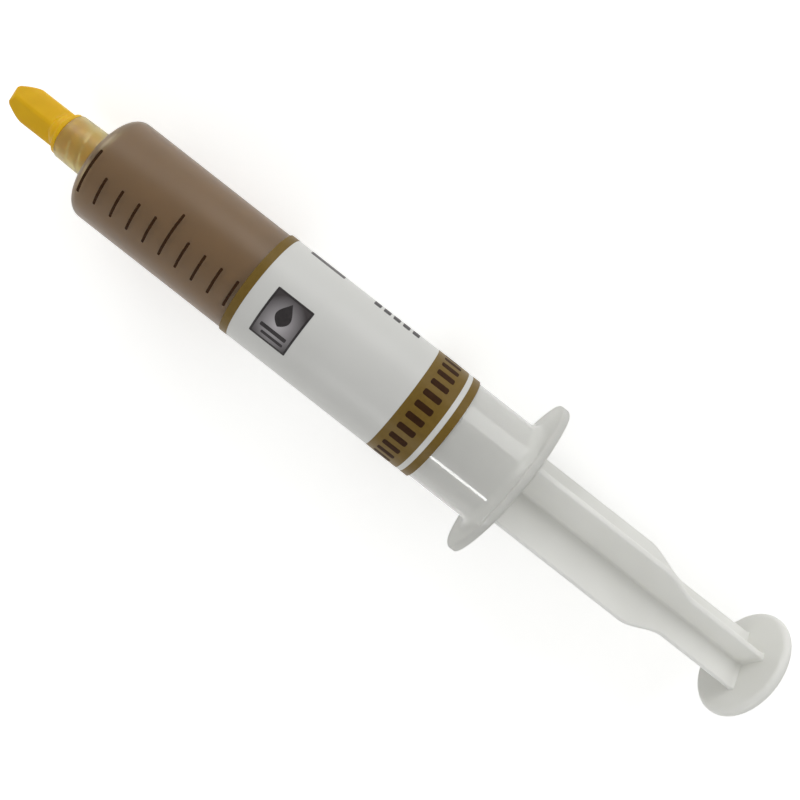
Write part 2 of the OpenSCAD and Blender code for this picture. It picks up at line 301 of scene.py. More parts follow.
def barrel(finish):
    """The barrel as one closed skin: outside from the nozzle's tip to the flange, and back in the bore."""
    flange = BARREL_L - FLANGE_T
    edge = 0.35
    soft = 0.2
    floor_fillet = 0.3
    channel_break, collar_break, inlet_break = 0.15, 0.12, 0.1
    mouth_l, mouth_w = 0.4, 0.45
    # One more row this far in front of the flange's fillet keeps the wall's long faces apart from it
    mid_row = 30
    bead_arc = 0.6
    bead_turn = math.degrees(math.acos((bead_arc - BEAD_H) / bead_arc))
    floor = -COLLAR_FLOOR - floor_fillet
    root = arc(flange - FLANGE_FILLET, BARREL_R + FLANGE_FILLET, FLANGE_FILLET, 270, 360)
    quarter = [math.pi / 6 * k for k in range(4)]

    def rim(place, inset):
        return place, lambda turn: flange_reach(turn) - inset

    rows = [(NOZZLE_END, CHANNEL_R + channel_break), (NOZZLE_END, NOZZLE_R - soft)]
    rows += [(NOZZLE_END + 0.3 * soft, NOZZLE_R - 0.3 * soft)]
    rows += [(NOZZLE_END + soft, nozzle_r(NOZZLE_END + soft))]
    rows += [(floor, nozzle_r(floor)), (-COLLAR_FLOOR, nozzle_r(-COLLAR_FLOOR) + floor_fillet)]
    rows += [(-COLLAR_FLOOR, COLLAR_IN_R - floor_fillet)]
    rows += grid_rows(floor, -COLLAR_L + soft, 70, thread_r)
    rows += [(-COLLAR_L, COLLAR_IN_R + collar_break)]
    rows += arc(-COLLAR_L + soft, COLLAR_R - soft, soft, 180, 90, 4)
    rows += arc(-COLLAR_FILLET, COLLAR_ROOT_R + COLLAR_FILLET, COLLAR_FILLET, 270, 360)
    rows += arc(SHOULDER_R, BARREL_R - SHOULDER_R, SHOULDER_R, 180, 90, 10)
    rows += [(flange - FLANGE_FILLET - mid_row, BARREL_R)]
    rows += [(p, (lambda turn, r=r: min(r, flange_reach(turn) - edge))) for p, r in root]
    rows += [rim(flange + edge * (1 - math.sin(a)), edge * (1 - math.cos(a))) for a in reversed(quarter)]
    rows += [rim(BARREL_L - edge * (1 - math.sin(a)), edge * (1 - math.cos(a))) for a in quarter]
    rows += [(BARREL_L, BORE_R + mouth_w), (BARREL_L - mouth_l, BORE_R)]
    bead_r = BORE_R + bead_arc - BEAD_H
    rows += arc(BARREL_L - BEAD_BACK, bead_r, bead_arc, 270 + bead_turn, 270 - bead_turn, 8)
    rows += arc(FRONT_DEPTH + BORE_FILLET, BORE_R - BORE_FILLET, BORE_FILLET, 90, 165, 4)
    rows += [(FRONT_DEPTH - CONE_H, CHANNEL_R + inlet_break), (FRONT_DEPTH - CONE_H - inlet_break, CHANNEL_R)]
    rows += [(NOZZLE_END + channel_break, CHANNEL_R)]
    dress(turned("barrel_moulding", rows, closed=True), finish, "clear_plastic", "barrel_body", "barrel")


# Tip cap

def blade_r(place, turn):
    """Radius of the grip blade: two roofs that meet in a ridge above and below, thin edges, slanted and
    curved corners seen from above and a round nose seen from the side."""
    side, up = max(abs(math.sin(turn)), 1e-6), max(abs(math.cos(turn)), 1e-6)
    along = place + COLLAR_L + CAP_L
    w, t, e, end_w = BLADE_W / 2, BLADE_T / 2, BLADE_EDGE_T / 2, BLADE_END_W / 2
    nose, end_round, corner_bend, edge_power = 1.4, 0.7, 1.25, -60
    dip = nose - math.sqrt(max(nose ** 2 - max(nose - along, 0) ** 2, 0))
    to_corner = max(1 - along / BLADE_CORNER_L, 0)
    plan = w - (w - end_w) * to_corner ** corner_bend - max(1 - along / end_round, 0) ** 2
    sizes = [plan / side, (t - dip) / up]
    # A quarter of the section, as (across, up): the ridge's flat, the roof, a bevel and the thin edge
    corners = ((0.3, t), (w - 0.8, e + 0.35), (w - 0.25, e), (w, e - 0.35))
    for (y0, z0), (y1, z1) in zip(corners, corners[1:]):
        sizes.append(((z0 - z1) * y0 + (y1 - y0) * z0) / ((z0 - z1) * side + (y1 - y0) * up))
    return soft_pick(sizes, edge_power)


def cap_r(place, turn):
    """Radius of the cap in front of the collar: the blade, the boss over the socket and the flared ring."""
    flare = -COLLAR_L - CAP_GAP - CAP_RING_L - CAP_FLARE_L
    wall, thinning, thin_start, thin_l = 0.7, 0.5, 0.2, 0.8
    run_in, run_in_bend, join_power = 1.2, 0.8, 20
    sizes = [blade_r(place, turn)]
    if place > SOCKET_END - BOSS_L:
        thin = ease((SOCKET_END - thin_start - place) / thin_l)
        sizes.append(NOZZLE_R + SOCKET_GAP + wall - thinning * thin)
    before = max(flare - place, 0)
    if before < run_in:
        hollow = math.sqrt(max(CAP_FLARE_L ** 2 - max(place - flare, 0) ** 2, 0))
        sizes.append(CAP_RING_R - hollow - run_in_bend * before ** 2)
    return soft_pick(sizes, join_power)


def tip_cap(finish):
    """The cap as one closed skin: from the blade's end outside to the skirt's end, and back in the socket."""
    tip = -COLLAR_L - CAP_L
    ring_back = -COLLAR_L - CAP_GAP
    plug_end = ring_back + PLUG_L
    skirt_end = -COLLAR_FLOOR - 0.8
    nose_l = 1.5
    ring_break, plug_break, skirt_break, socket_break = 0.12, 0.3, 0.15, 0.2
    lug_l, lug_break, lug_fade = 1.2, 0.1, 0.3

    def lug_r(turn):
        off_side = SKIRT_R * abs(math.cos(turn))
        return SKIRT_R + LUG_H * (1 - ease((off_side - LUG_W / 2 + lug_fade) / lug_fade))

    rows = [(tip, 0)] + grid_rows(tip + 0.002, tip + nose_l, 18, cap_r)[:-1]
    # Two rows close together, before and after the place where the boss starts
    rows += grid_rows(tip + nose_l, SOCKET_END - BOSS_L - 0.05, 46, cap_r)
    rows += grid_rows(SOCKET_END - BOSS_L + 0.05, ring_back - ring_break, 60, cap_r)
    rows += [(ring_back, CAP_RING_R - ring_break), (ring_back, PLUG_R)]
    rows += [(plug_end - plug_break, PLUG_R), (plug_end, PLUG_R - plug_break), (plug_end, SKIRT_R)]
    rows += [(skirt_end - lug_l - lug_break, SKIRT_R), (skirt_end - lug_l, lug_r)]
    rows += [(skirt_end - lug_break, lug_r)]
    rows += [(skirt_end, SKIRT_R - skirt_break), (skirt_end, nozzle_r(skirt_end) + SOCKET_GAP + socket_break)]
    rows += [(skirt_end - socket_break, nozzle_r(skirt_end) + SOCKET_GAP)]
    rows += [(SOCKET_END, nozzle_r(SOCKET_END) + SOCKET_GAP), (SOCKET_END, 0)]
    dress(turned("tip_cap_moulding", rows, sharp=40), finish, "yellow_plastic", "cap", "tip_cap")


# Paste and seal

def paste(finish):
    """The filling. It wets the bore, so it reaches into the inner skin of the wall."""
    wet = 0.04
    front = NOZZLE_END + 0.3
    rear = SEAL_S - 0.02
    rows = [(front, 0), (front, CHANNEL_R + wet)]
    rows += [(FRONT_DEPTH - CONE_H - 2 * wet, CHANNEL_R + wet), (FRONT_DEPTH - 0.1, BORE_R - 0.6)]
    rows += arc(FRONT_DEPTH + BORE_FILLET, BORE_R - BORE_FILLET, BORE_FILLET + wet, 165, 90, 5)
    rows += [(rear, BORE_R + wet), (rear - CONE_H, CHANNEL_R), (rear - CONE_H, 0)]
    piece = turned("paste_filling", rows)
    dress(piece, finish, "paste", None, "paste")
    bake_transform(piece)


def piston_seal(finish):
    """The seal: its cone in front, two lips with a groove, and behind them the socket for the rod's head."""
    deep = SEAL_R - GROOVE
    front_round, back_round, groove_round, lip_break = 0.2, 0.3, 0.4, 0.1
    front_lip, back_lip = SEAL_S + LIP_L, SEAL_BACK - LIP_L
    stem_r, head_r, head_back = STEM_R + HEAD_GAP, HEAD_R + HEAD_GAP, HEAD_S + HEAD_L + HEAD_GAP
    rows = [(SEAL_S - CONE_H, 0), (SEAL_S - CONE_H, CHANNEL_R), (SEAL_S - 0.05, SEAL_R - 0.3)]
    rows += arc(SEAL_S + front_round, SEAL_R - front_round, front_round, 170, 90, 4)
    rows += [(front_lip - lip_break, SEAL_R), (front_lip, SEAL_R - lip_break)]
    rows += arc(front_lip + groove_round, deep + groove_round, groove_round, 180, 270, 5)
    rows += arc(back_lip - groove_round, deep + groove_round, groove_round, 270, 360, 5)
    rows += [(back_lip, SEAL_R - lip_break), (back_lip + lip_break, SEAL_R)]
    rows += arc(SEAL_BACK - back_round, SEAL_R - back_round, back_round, 90, 0, 4)
    rows += [(SEAL_BACK, stem_r + lip_break), (SEAL_BACK - lip_break, stem_r), (head_back, stem_r)]
    rows += [(head_back, head_r), (HEAD_S - HEAD_GAP, head_r), (HEAD_S - HEAD_GAP, 0)]
    dress(turned("seal_moulding", rows), finish, "seal_rubber", "piston", "piston_seal")


# Plunger

def rod_section(reach, thick):
    """Points of the crossed ribs, as (up, across): drafted sides, round edges and fillets between them."""
    root, tip, fillet, bend = thick / 2 + 0.08, thick / 2 - 0.1, 0.5, 0.3
    edge_turns = [math.pi / 6 * k for k in (1, 2, 3)]
    fillet_turns = [math.pi / 8 * k for k in (1, 2, 3)]
    points = []
    for quarter in range(4):
        side = [(root + fillet, -root), (reach - bend, -tip)]
        side += [(reach - bend + bend * math.sin(a), -tip + bend * (1 - math.cos(a))) for a in edge_turns]
        side += [(x, -y) for x, y in reversed(side)]
        centre = root + fillet
        side += [(centre - fillet * math.sin(a), centre - fillet * math.cos(a)) for a in fillet_turns]
        cos, sin = ((1, 0), (0, 1), (-1, 0), (0, -1))[quarter]
        points += [(x * cos - y * sin, x * sin + y * cos) for x, y in side]
    return points


def rod():
    """The crossed-rib rod as one skin, from the pusher disc to the thumb disc, where it spreads out."""
    neck = THUMB_S - SLIM_L - NECK_L
    lap = 0.1
    steps = 24
    # Place from the thumb disc's face, and how much the ribs' reach and thickness grow there
    flare = ((-0.6, 0, 0), (-0.3, 0.03, 0.15), (-0.08, 0.1, 0.5), (0.3, 0.2, 0.9))
    stations = [(ROD_S + PUSHER_T - lap, RIB_REACH, RIB_T)]
    stations += [(neck + NECK_L * i / steps, RIB_REACH + (SLIM_REACH - RIB_REACH) * ease(i / steps), RIB_T)
                 for i in range(steps + 1)]
    stations += [(THUMB_S + place, SLIM_REACH + reach, RIB_T + thick) for place, reach, thick in flare]
    build = bmesh.new()
    rings = []
    for place, reach, thick in stations:
        ring = []
        for up, across in rod_section(reach, thick):
            turn = math.radians(ROD_TURN) + math.atan2(across, up)
            ring.append(build.verts.new(spot(place, math.hypot(up, across), turn)))
        rings.append(ring)
    count = len(rings[0])
    for low, high in zip(rings, rings[1:]):
        for i in range(count):
            j = (i + 1) % count
            build.faces.new((low[i], low[j], high[j], high[i]))
    build.faces.new(rings[0])
    build.faces.new(rings[-1])
    return finish_mesh("plunger_moulding", build)


def plunger(finish):
    """The rod, its thumb disc with a dished face, its pusher disc and its head, joined into one skin."""
    back = THUMB_S + THUMB_T
    rim, dish, dish_r, dish_slope = 0.88, 0.25, THUMB_R - 1.6, 0.5
    lead_in, head_break, pusher_break, lap = 0.6, 0.1, 0.2, 0.1
    pusher_back, head_back = ROD_S + PUSHER_T, HEAD_S + HEAD_L
    thumb = [(THUMB_S, 0), (THUMB_S, THUMB_R - rim)] + arc(THUMB_S + rim, THUMB_R - rim, rim, 180, 90)[1:]
    thumb += arc(back - rim, THUMB_R - rim, rim, 90, 0)
    thumb += [(back, dish_r), (back - dish, dish_r - dish_slope), (back - dish, 0)]
    pusher = [(ROD_S, 0), (ROD_S, PUSHER_R - pusher_break), (ROD_S + pusher_break, PUSHER_R)]
    pusher += [(pusher_back - pusher_break, PUSHER_R), (pusher_back, PUSHER_R - pusher_break)]
    pusher += [(pusher_back, 0)]
    head = [(HEAD_S, 0), (HEAD_S, HEAD_R - lead_in), (HEAD_S + lead_in, HEAD_R)]
    head += [(head_back - head_break, HEAD_R), (head_back, HEAD_R - head_break), (head_back, STEM_R)]
    head += [(ROD_S + lap, STEM_R), (ROD_S + lap, 0)]
    piece = rod()
    others = [turned("thumb", thumb), turned("pusher", pusher, steps=120), turned("head", head, steps=96)]
    for other in others:
        join = piece.modifiers.new("join", "BOOLEAN")
        join.operation = "UNION"
        join.solver = "EXACT"
        join.object = other
    plain_mesh(piece)
    for other in others:
        bpy.data.objects.remove(other)
    dress(piece, finish, "frosted_plastic", "rod", "plunger")


# Label and print

def shape_tree(name, inputs):
    """An empty Geometry Nodes tree with named inputs and one output."""
    tree = bpy.data.node_groups.new(name, "GeometryNodeTree")
    for title, kind in inputs.items():
        tree.interface.new_socket(title, in_out="INPUT", socket_type="NodeSocket" + kind)
    tree.interface.new_socket("Shape", in_out="OUTPUT", socket_type="NodeSocketGeometry")
    return tree, node(tree, "NodeGroupInput").outputs


PATCH = {
    "Width": "Float", "Radius": "Float", "Thickness": "Float", "Start Turn": "Float", "End Turn": "Float",
    "Corner Radius": "Float", "Lap": "Float", "Lap Rise": "Float", "Rows": "Int"}


def patch_tree():
    """One piece of film or ink laid round a cylinder: a grid is wrapped on it and gets its thickness
    outwards. The corners can be round, and the end can climb over the start."""
    tree, given = shape_tree("wrapped film", PATCH)
    grid = node(tree, "GeometryNodeMeshGrid", [
        ("Size X", given["Width"]), ("Size Y", 1), ("Vertices X", 5), ("Vertices Y", given["Rows"])])
    point = node(tree, "ShaderNodeSeparateXYZ", [(0, node(tree, "GeometryNodeInputPosition").outputs[0])])
    # Rows lie closer together towards both ends, where the corners are
    swing = node(tree, "ShaderNodeMath", [(0, point.outputs[1]), (1, math.pi)], operation="MULTIPLY")
    swing = node(tree, "ShaderNodeMath", [(0, swing.outputs[0])], operation="SINE")
    share = node(tree, "ShaderNodeMath", [(0, swing.outputs[0]), (1, 0.5), (2, 0.5)],
                 operation="MULTIPLY_ADD")
    turn = node(tree, "ShaderNodeMapRange", [
        ("Value", share.outputs[0]), ("To Min", given["Start Turn"]), ("To Max", given["End Turn"])])
    # Distance from the nearer end, and from it the width that a round corner leaves
    sweep = node(tree, "ShaderNodeMath", [(0, given["End Turn"]), (1, given["Start Turn"])],
                 operation="SUBTRACT")
    length = node(tree, "ShaderNodeMath", [(0, sweep.outputs[0]), (1, given["Radius"])], operation="MULTIPLY")
    near = node(tree, "ShaderNodeMath", [(0, share.outputs[0]), (1, 0.5)], operation="PINGPONG")
    away = node(tree, "ShaderNodeMath", [(0, near.outputs[0]), (1, length.outputs[0])], operation="MULTIPLY")
    into = node(tree, "ShaderNodeMath", [(0, given["Corner Radius"]), (1, away.outputs[0])],
                operation="SUBTRACT")
    into = node(tree, "ShaderNodeMath", [(0, into.outputs[0]), (1, 0)], operation="MAXIMUM")
    into = node(tree, "ShaderNodeMath", [(0, into.outputs[0]), (1, 2)], operation="POWER")
    full = node(tree, "ShaderNodeMath", [(0, given["Corner Radius"]), (1, 2)], operation="POWER")
    left = node(tree, "ShaderNodeMath", [(0, full.outputs[0]), (1, into.outputs[0])], operation="SUBTRACT")
    left = node(tree, "ShaderNodeMath", [(0, left.outputs[0])], operation="SQRT")
    cut = node(tree, "ShaderNodeMath", [(0, left.outputs[0]), (1, given["Corner Radius"])],
               operation="SUBTRACT")
    cut = node(tree, "ShaderNodeMath", [(0, cut.outputs[0]), (1, given["Width"])], operation="DIVIDE")
    cut = node(tree, "ShaderNodeMath", [(0, cut.outputs[0]), (1, -2), (2, -1)], operation="MULTIPLY_ADD")
    across = node(tree, "ShaderNodeMath", [(0, point.outputs[0]), (1, cut.outputs[0])], operation="MULTIPLY")
    # The end climbs over one lap and lies on the start over the next
    climb = node(tree, "ShaderNodeMath", [(0, given["Lap"]), (1, -2), (2, given["End Turn"])],
                 operation="MULTIPLY_ADD")
    top = node(tree, "ShaderNodeMath", [(0, given["End Turn"]), (1, given["Lap"])], operation="SUBTRACT")
    rise = node(tree, "ShaderNodeMapRange", [
        ("Value", turn.outputs[0]), ("From Min", climb.outputs[0]), ("From Max", top.outputs[0]),
        ("To Max", given["Lap Rise"])], interpolation_type="SMOOTHSTEP")
    radius = node(tree, "ShaderNodeMath", [(0, given["Radius"]), (1, given["Thickness"])],
                  operation="SUBTRACT")
    radius = node(tree, "ShaderNodeMath", [(0, radius.outputs[0]), (1, rise.outputs[0])], operation="ADD")
    flat = node(tree, "ShaderNodeCombineXYZ", [("X", across.outputs[0]), ("Z", radius.outputs[0])])
    bent = node(tree, "ShaderNodeVectorRotate", [("Vector", flat.outputs[0]), ("Angle", turn.outputs[0])],
                rotation_type="X_AXIS")
    skin = node(tree, "GeometryNodeSetPosition", [
        ("Geometry", grid.outputs[0]), ("Position", bent.outputs[0])])
    thick = node(tree, "GeometryNodeExtrudeMesh", [
        ("Mesh", skin.outputs[0]), ("Offset Scale", given["Thickness"]), ("Individual", False)])
    under = node(tree, "GeometryNodeFlipFaces", [("Mesh", skin.outputs[0])])
    whole = node(tree, "GeometryNodeJoinGeometry", [
        ("Geometry", thick.outputs[0]), ("Geometry", under.outputs[0])])
    whole = node(tree, "GeometryNodeMergeByDistance", [("Geometry", whole.outputs[0]), ("Distance", 0.001)])
    node(tree, "NodeGroupOutput", [("Shape", whole.outputs[0])])
    return tree


def print_tree():
    """Patches repeated along the axis and round it, with a longer one after every few, set in the frame."""
    patch = patch_tree()
    tree, given = shape_tree("repeated print", PATCH | {
        "Long Start Turn": "Float", "Long Every": "Int", "Count": "Int", "Pitch": "Float",
        "Turn Step": "Float", "Place": "Vector", "Finish": "Material"})
    step = node(tree, "ShaderNodeCombineXYZ", [("X", given["Pitch"])])
    line = node(tree, "GeometryNodeMeshLine", [("Count", given["Count"]), ("Offset", step.outputs[0])])
    index = node(tree, "GeometryNodeInputIndex").outputs[0]
    angle = node(tree, "ShaderNodeMath", [(0, index), (1, given["Turn Step"])], operation="MULTIPLY")
    angle = node(tree, "ShaderNodeCombineXYZ", [("X", angle.outputs[0])])
    rest = node(tree, "ShaderNodeMath", [(0, index), (1, given["Long Every"])], operation="MODULO")
    is_long = node(tree, "ShaderNodeMath", [(0, rest.outputs[0]), (1, 0.5)], operation="LESS_THAN")
    is_short = node(tree, "ShaderNodeMath", [(0, rest.outputs[0]), (1, 0.5)], operation="GREATER_THAN")
    rows = []
    for start, chosen in (("Long Start Turn", is_long), ("Start Turn", is_short)):
        one = node(tree, "GeometryNodeGroup", node_tree=patch)
        for title in PATCH:
            tree.links.new(given[start if title == "Start Turn" else title], one.inputs[title])
        rows.append(node(tree, "GeometryNodeInstanceOnPoints", [
            ("Points", line.outputs[0]), ("Selection", chosen.outputs[0]), ("Instance", one.outputs[0]),
            ("Rotation", angle.outputs[0])]))
    both = node(tree, "GeometryNodeJoinGeometry", [("Geometry", row.outputs[0]) for row in rows])
    set_in = node(tree, "GeometryNodeTransform", [
        ("Geometry", both.outputs[0]), ("Translation", given["Place"]), ("Scale", (MM, MM, MM))])
    real = node(tree, "GeometryNodeRealizeInstances", [("Geometry", set_in.outputs[0])])
    inked = node(tree, "GeometryNodeSetMaterial", [
        ("Geometry", real.outputs[0]), ("Material", given["Finish"])])
    node(tree, "NodeGroupOutput", [("Shape", inked.outputs[0])])
    return tree


def printed(name, tree, finish, slot, nodes, place, width, turn, radius, thickness, corner=0, rows=48, lap=0,
            rise=0, count=1, pitch=0, turn_step=0, long_start=None, long_every=1):
    """A piece from the print tree. Turns are in degrees, and place is where the first patch starts."""
    piece = bpy.data.objects.new(name, bpy.data.meshes.new(name))
    bpy.context.scene.collection.objects.link(piece)
    wrap = piece.modifiers.new(name, "NODES")
    wrap.node_group = tree
    given = {
        "Width": width, "Radius": radius, "Thickness": thickness, "Start Turn": math.radians(turn[0]),
        "End Turn": math.radians(turn[1]), "Corner Radius": corner, "Lap": math.radians(lap),
        "Lap Rise": rise, "Pitch": pitch, "Turn Step": math.radians(turn_step),
        "Long Start Turn": math.radians(turn[0] if long_start is None else long_start),
    }
    given = {title: float(value) for title, value in given.items()}
    given |= {"Rows": rows, "Count": count, "Long Every": long_every, "Finish": finish,
              "Place": spot(place + width / 2, 0, 0)}
    for item in tree.interface.items_tree:
        if item.in_out == "INPUT":
            wrap[item.identifier] = given[item.name]
    dress(plain_mesh(piece), finish, slot, "barrel_body", *nodes)


def drop_mark(finish, place, turn, size):
    """A plain drop in the badge: rows across it, from its point to its round end, bent round the label."""
    build = bmesh.new()
    rows = []
    steps, half_steps = 24, 3
    width, point_width, end_half = 0.45 * size, 0.35, 0.01
    for i in range(steps + 1):
        t = i / steps
        half = width * math.sin(math.pi * t) ** 0.9 * (point_width + (1 - point_width) * t) + end_half
        around = turn + (t - 0.5) * size / LABEL_R
        rows.append([build.verts.new(spot(place + half * k / half_steps, LABEL_R + MARK_OUT, around))
                     for k in range(-half_steps, half_steps + 1)])
    for low, high in zip(rows, rows[1:]):
        for k in range(2 * half_steps):
            build.faces.new((low[k], low[k + 1], high[k + 1], high[k]))
    piece = finish_mesh("badge_drop", build)
    thick = piece.modifiers.new("ink", "SOLIDIFY")
    thick.thickness = INK_T * MM
    thick.offset = -1
    dress(plain_mesh(piece), finish, "dark_ink", "barrel_body")


def label_and_print():
    """The film, its gold bands with a row of bars, the badge, the small print and the barrel's scale."""
    tree = print_tree()
    film, gold = printed_film(), gold_ink()
    badge_ink, field, scale_ink = dark_ink(), badge_grey(), brown_ink()
    wound = {"turn": (SEAM_TURN, SEAM_TURN + 360 + LAP_TURN), "lap": LAP_TURN, "rise": LAP_RISE, "rows": 420}
    back = LABEL_START + LABEL_L - BACK_STRIPE_W
    band = back - WHITE_STRIPE_W - BAND_W
    printed("label_film", tree, film, "label_film", ["label"], LABEL_START, LABEL_L, radius=LABEL_R,
            thickness=FILM_T, **wound)
    # The outer stripes run over the film's edges
    bands = (("front_stripe", LABEL_START - INK_OUT, FRONT_STRIPE_W + INK_OUT, []),
             ("gold_band", band, BAND_W, ["label_bands"]), ("back_stripe", back, BACK_STRIPE_W + INK_OUT, []))
    for name, place, width, nodes in bands:
        printed(name, tree, gold, "gold_ink", nodes, place, width, radius=LABEL_R + INK_OUT,
                thickness=FILM_T + INK_OUT, **wound)
    printed("band_bars", tree, scale_ink, "scale_ink", [], band + 1.5, 3.6, BAR_TURN, LABEL_R + BAR_OUT,
            INK_T, corner=0.35, rows=20, count=BAR_COUNT, turn_step=360 / BAR_COUNT)
    inset = math.degrees(BADGE_FRAME_W / LABEL_R)
    printed("badge_border", tree, badge_ink, "dark_ink", ["badge_frame"], BADGE_PLACE, BADGE_L, BADGE_TURN,
            LABEL_R + INK_OUT, INK_T, corner=MARK_CORNER)
    printed("badge_ground", tree, field, "grey_ink", ["badge_field"], BADGE_PLACE + BADGE_FRAME_W,
            BADGE_L - 2 * BADGE_FRAME_W, (BADGE_TURN[0] + inset, BADGE_TURN[1] - inset), LABEL_R + GROUND_OUT,
            GROUND_T)
    middle = BADGE_PLACE + BADGE_L / 2
    drop_mark(badge_ink, middle, math.radians(-2), 4.6)
    # Small marks: name, ink, slot, place, width, turns, distance above the film, and what repeats
    marks = (("badge_bar_long", badge_ink, "dark_ink", middle - 2.7, 5.4, (15, 19), MARK_OUT, {}),
             ("badge_bar_short", badge_ink, "dark_ink", middle - 1.9, 4.6, (22, 25), MARK_OUT, {}),
             ("note_bar", field, "grey_ink", 39.3, 7.5, (-90, -79), INK_OUT, {}),
             ("note_blocks", badge_ink, "dark_ink", 53.6, 1.5, (-90, -76.5), INK_OUT,
              {"rows": 20, "count": 5, "pitch": 2.15}))
    for name, ink, slot, place, width, turn, out, repeat in marks:
        printed(name, tree, ink, slot, [], place, width, turn, LABEL_R + out, INK_T, corner=MARK_CORNER,
                **repeat)
    printed("scale_lines", tree, scale_ink, "scale_ink", ["scale_marks"], FRONT_DEPTH - LINE_W / 2, LINE_W,
            SHORT_TURN, BARREL_R + INK_OUT, INK_T, corner=MARK_CORNER, count=10, pitch=ML_PITCH,
            long_start=LONG_TURN[0], long_every=5)


# Materials

def linear(code):
    """An sRGB hex colour as linear red, green, blue and alpha."""
    parts = [int(code[i:i + 2], 16) / 255 for i in (0, 2, 4)]
    return tuple(c / 12.92 if c <= 0.04045 else ((c + 0.055) / 1.055) ** 2.4 for c in parts) + (1,)


def material(name):
    """A new material with an empty node tree."""
    made = bpy.data.materials.new(name)
    made.use_nodes = True
    made.node_tree.nodes.clear()
    return made, made.node_tree


def clear_polypropylene():
    # Clear random polypropylene, injection moulded. Where paste wets the bore its haze doesn't show: the
    # wall looks clear and takes up some of the paste's colour. Behind the label the bore is dry, so the wall
    # looks milky, with what is inside only faint, under a glossy skin. The flange is as milky, but matt,
    # since its mould is textured for grip. Slow waves show where the melt cooled.
    made, tree = material("clear moulded polypropylene")
    place = node(tree, "ShaderNodeTexCoord").outputs["Object"]
    waves = node(tree, "ShaderNodeTexNoise", [("Vector", place), ("Scale", 1000 / 14), ("Detail", 0)])
    bump = node(tree, "ShaderNodeBump", [("Height", waves.outputs[0]), ("Distance", 0.01 * MM)])
    along = node(tree, "ShaderNodeSeparateXYZ", [(0, place)])
    haze = node(tree, "ShaderNodeMapRange", [
        ("Value", along.outputs[0]), ("From Min", spot(LABEL_START + 20, 0, 0).x),
        ("From Max", spot(LABEL_START + LABEL_L - 4, 0, 0).x)], interpolation_type="SMOOTHSTEP")
    filled = node(tree, "ShaderNodeMapRange", [
        ("Value", along.outputs[0]), ("From Min", spot(-1, 0, 0).x), ("From Max", spot(0.2, 0, 0).x)])
    front = node(tree, "ShaderNodeMix", [
        (0, filled.outputs[0]), (6, linear("ECE0A0")), (7, linear("BEA88B"))], data_type="RGBA")
    tint = node(tree, "ShaderNodeMix", [(0, haze.outputs[0]), (6, front.outputs[2]), (7, linear("ECECE8"))],
                data_type="RGBA")
    clearness = node(tree, "ShaderNodeMapRange", [
        ("Value", haze.outputs[0]), ("To Min", 0.94), ("To Max", 0.5)])
    satin = node(tree, "ShaderNodeMapRange", [("Value", haze.outputs[0]), ("To Min", 0.36), ("To Max", 0.45)])
    matt = node(tree, "ShaderNodeMapRange", [
        ("Value", along.outputs[0]), ("From Min", spot(BARREL_L - FLANGE_T - FLANGE_FILLET, 0, 0).x),
        ("From Max", spot(BARREL_L - FLANGE_T, 0, 0).x), ("To Min", 1), ("To Max", 0.15)])
    gloss = node(tree, "ShaderNodeMath", [(0, haze.outputs[0]), (1, matt.outputs[0])], operation="MULTIPLY")
    shader = node(tree, "ShaderNodeBsdfPrincipled", [
        ("Base Color", tint.outputs[2]), ("Transmission Weight", clearness.outputs[0]),
        ("Roughness", satin.outputs[0]), ("IOR", 1.49), ("Specular IOR Level", 0.15),
        ("Coat Weight", gloss.outputs[0]), ("Coat Roughness", 0.07), ("Normal", bump.outputs[0])])
    node(tree, "ShaderNodeOutputMaterial", [("Surface", shader.outputs[0])])
    return made


def yellow_polypropylene():
    # Pigmented polypropylene, injection moulded: satin, with a faint cloudiness from the flow of the melt
    # and a fine spark-eroded grain, drawn at 0.4 mm so that it shows. Behind the ring the cap is thin-walled
    # and sits inside the clear collar; there its yellow is painted paler, painted light for the light that
    # reaches it.
    made, tree = material("yellow moulded polypropylene")
    place = node(tree, "ShaderNodeTexCoord").outputs["Object"]
    cloud = node(tree, "ShaderNodeTexNoise", [("Vector", place), ("Scale", 1000 / 2.5), ("Detail", 2)])
    thick = node(tree, "ShaderNodeMix", [(0, cloud.outputs[0]), (6, linear("D9A806")), (7, linear("E7B810"))],
                 data_type="RGBA")
    along = node(tree, "ShaderNodeSeparateXYZ", [(0, place)])
    # Painted light: this mask makes the yellow paler behind the ring, inside the collar
    thin = node(tree, "ShaderNodeMapRange", [
        ("Value", along.outputs[0]), ("From Min", spot(-COLLAR_L - CAP_GAP, 0, 0).x),
        ("From Max", spot(-COLLAR_L, 0, 0).x)])
    tint = node(tree, "ShaderNodeMix", [(0, thin.outputs[0]), (6, thick.outputs[2]), (7, linear("F4CA38"))],
                data_type="RGBA")
    grain = node(tree, "ShaderNodeTexNoise", [("Vector", place), ("Scale", 1000 / 0.4), ("Detail", 1)])
    bump = node(tree, "ShaderNodeBump", [("Height", grain.outputs[0]), ("Distance", 0.008 * MM)])
    shader = node(tree, "ShaderNodeBsdfPrincipled", [
        ("Base Color", tint.outputs[2]), ("Roughness", 0.42), ("IOR", 1.49), ("Specular IOR Level", 0.25),
        ("Subsurface Weight", 0.3), ("Subsurface Radius", (1.2, 0.6, 0.1)), ("Subsurface Scale", MM),
        ("Normal", bump.outputs[0])])
    node(tree, "ShaderNodeOutputMaterial", [("Surface", shader.outputs[0])])
    return made


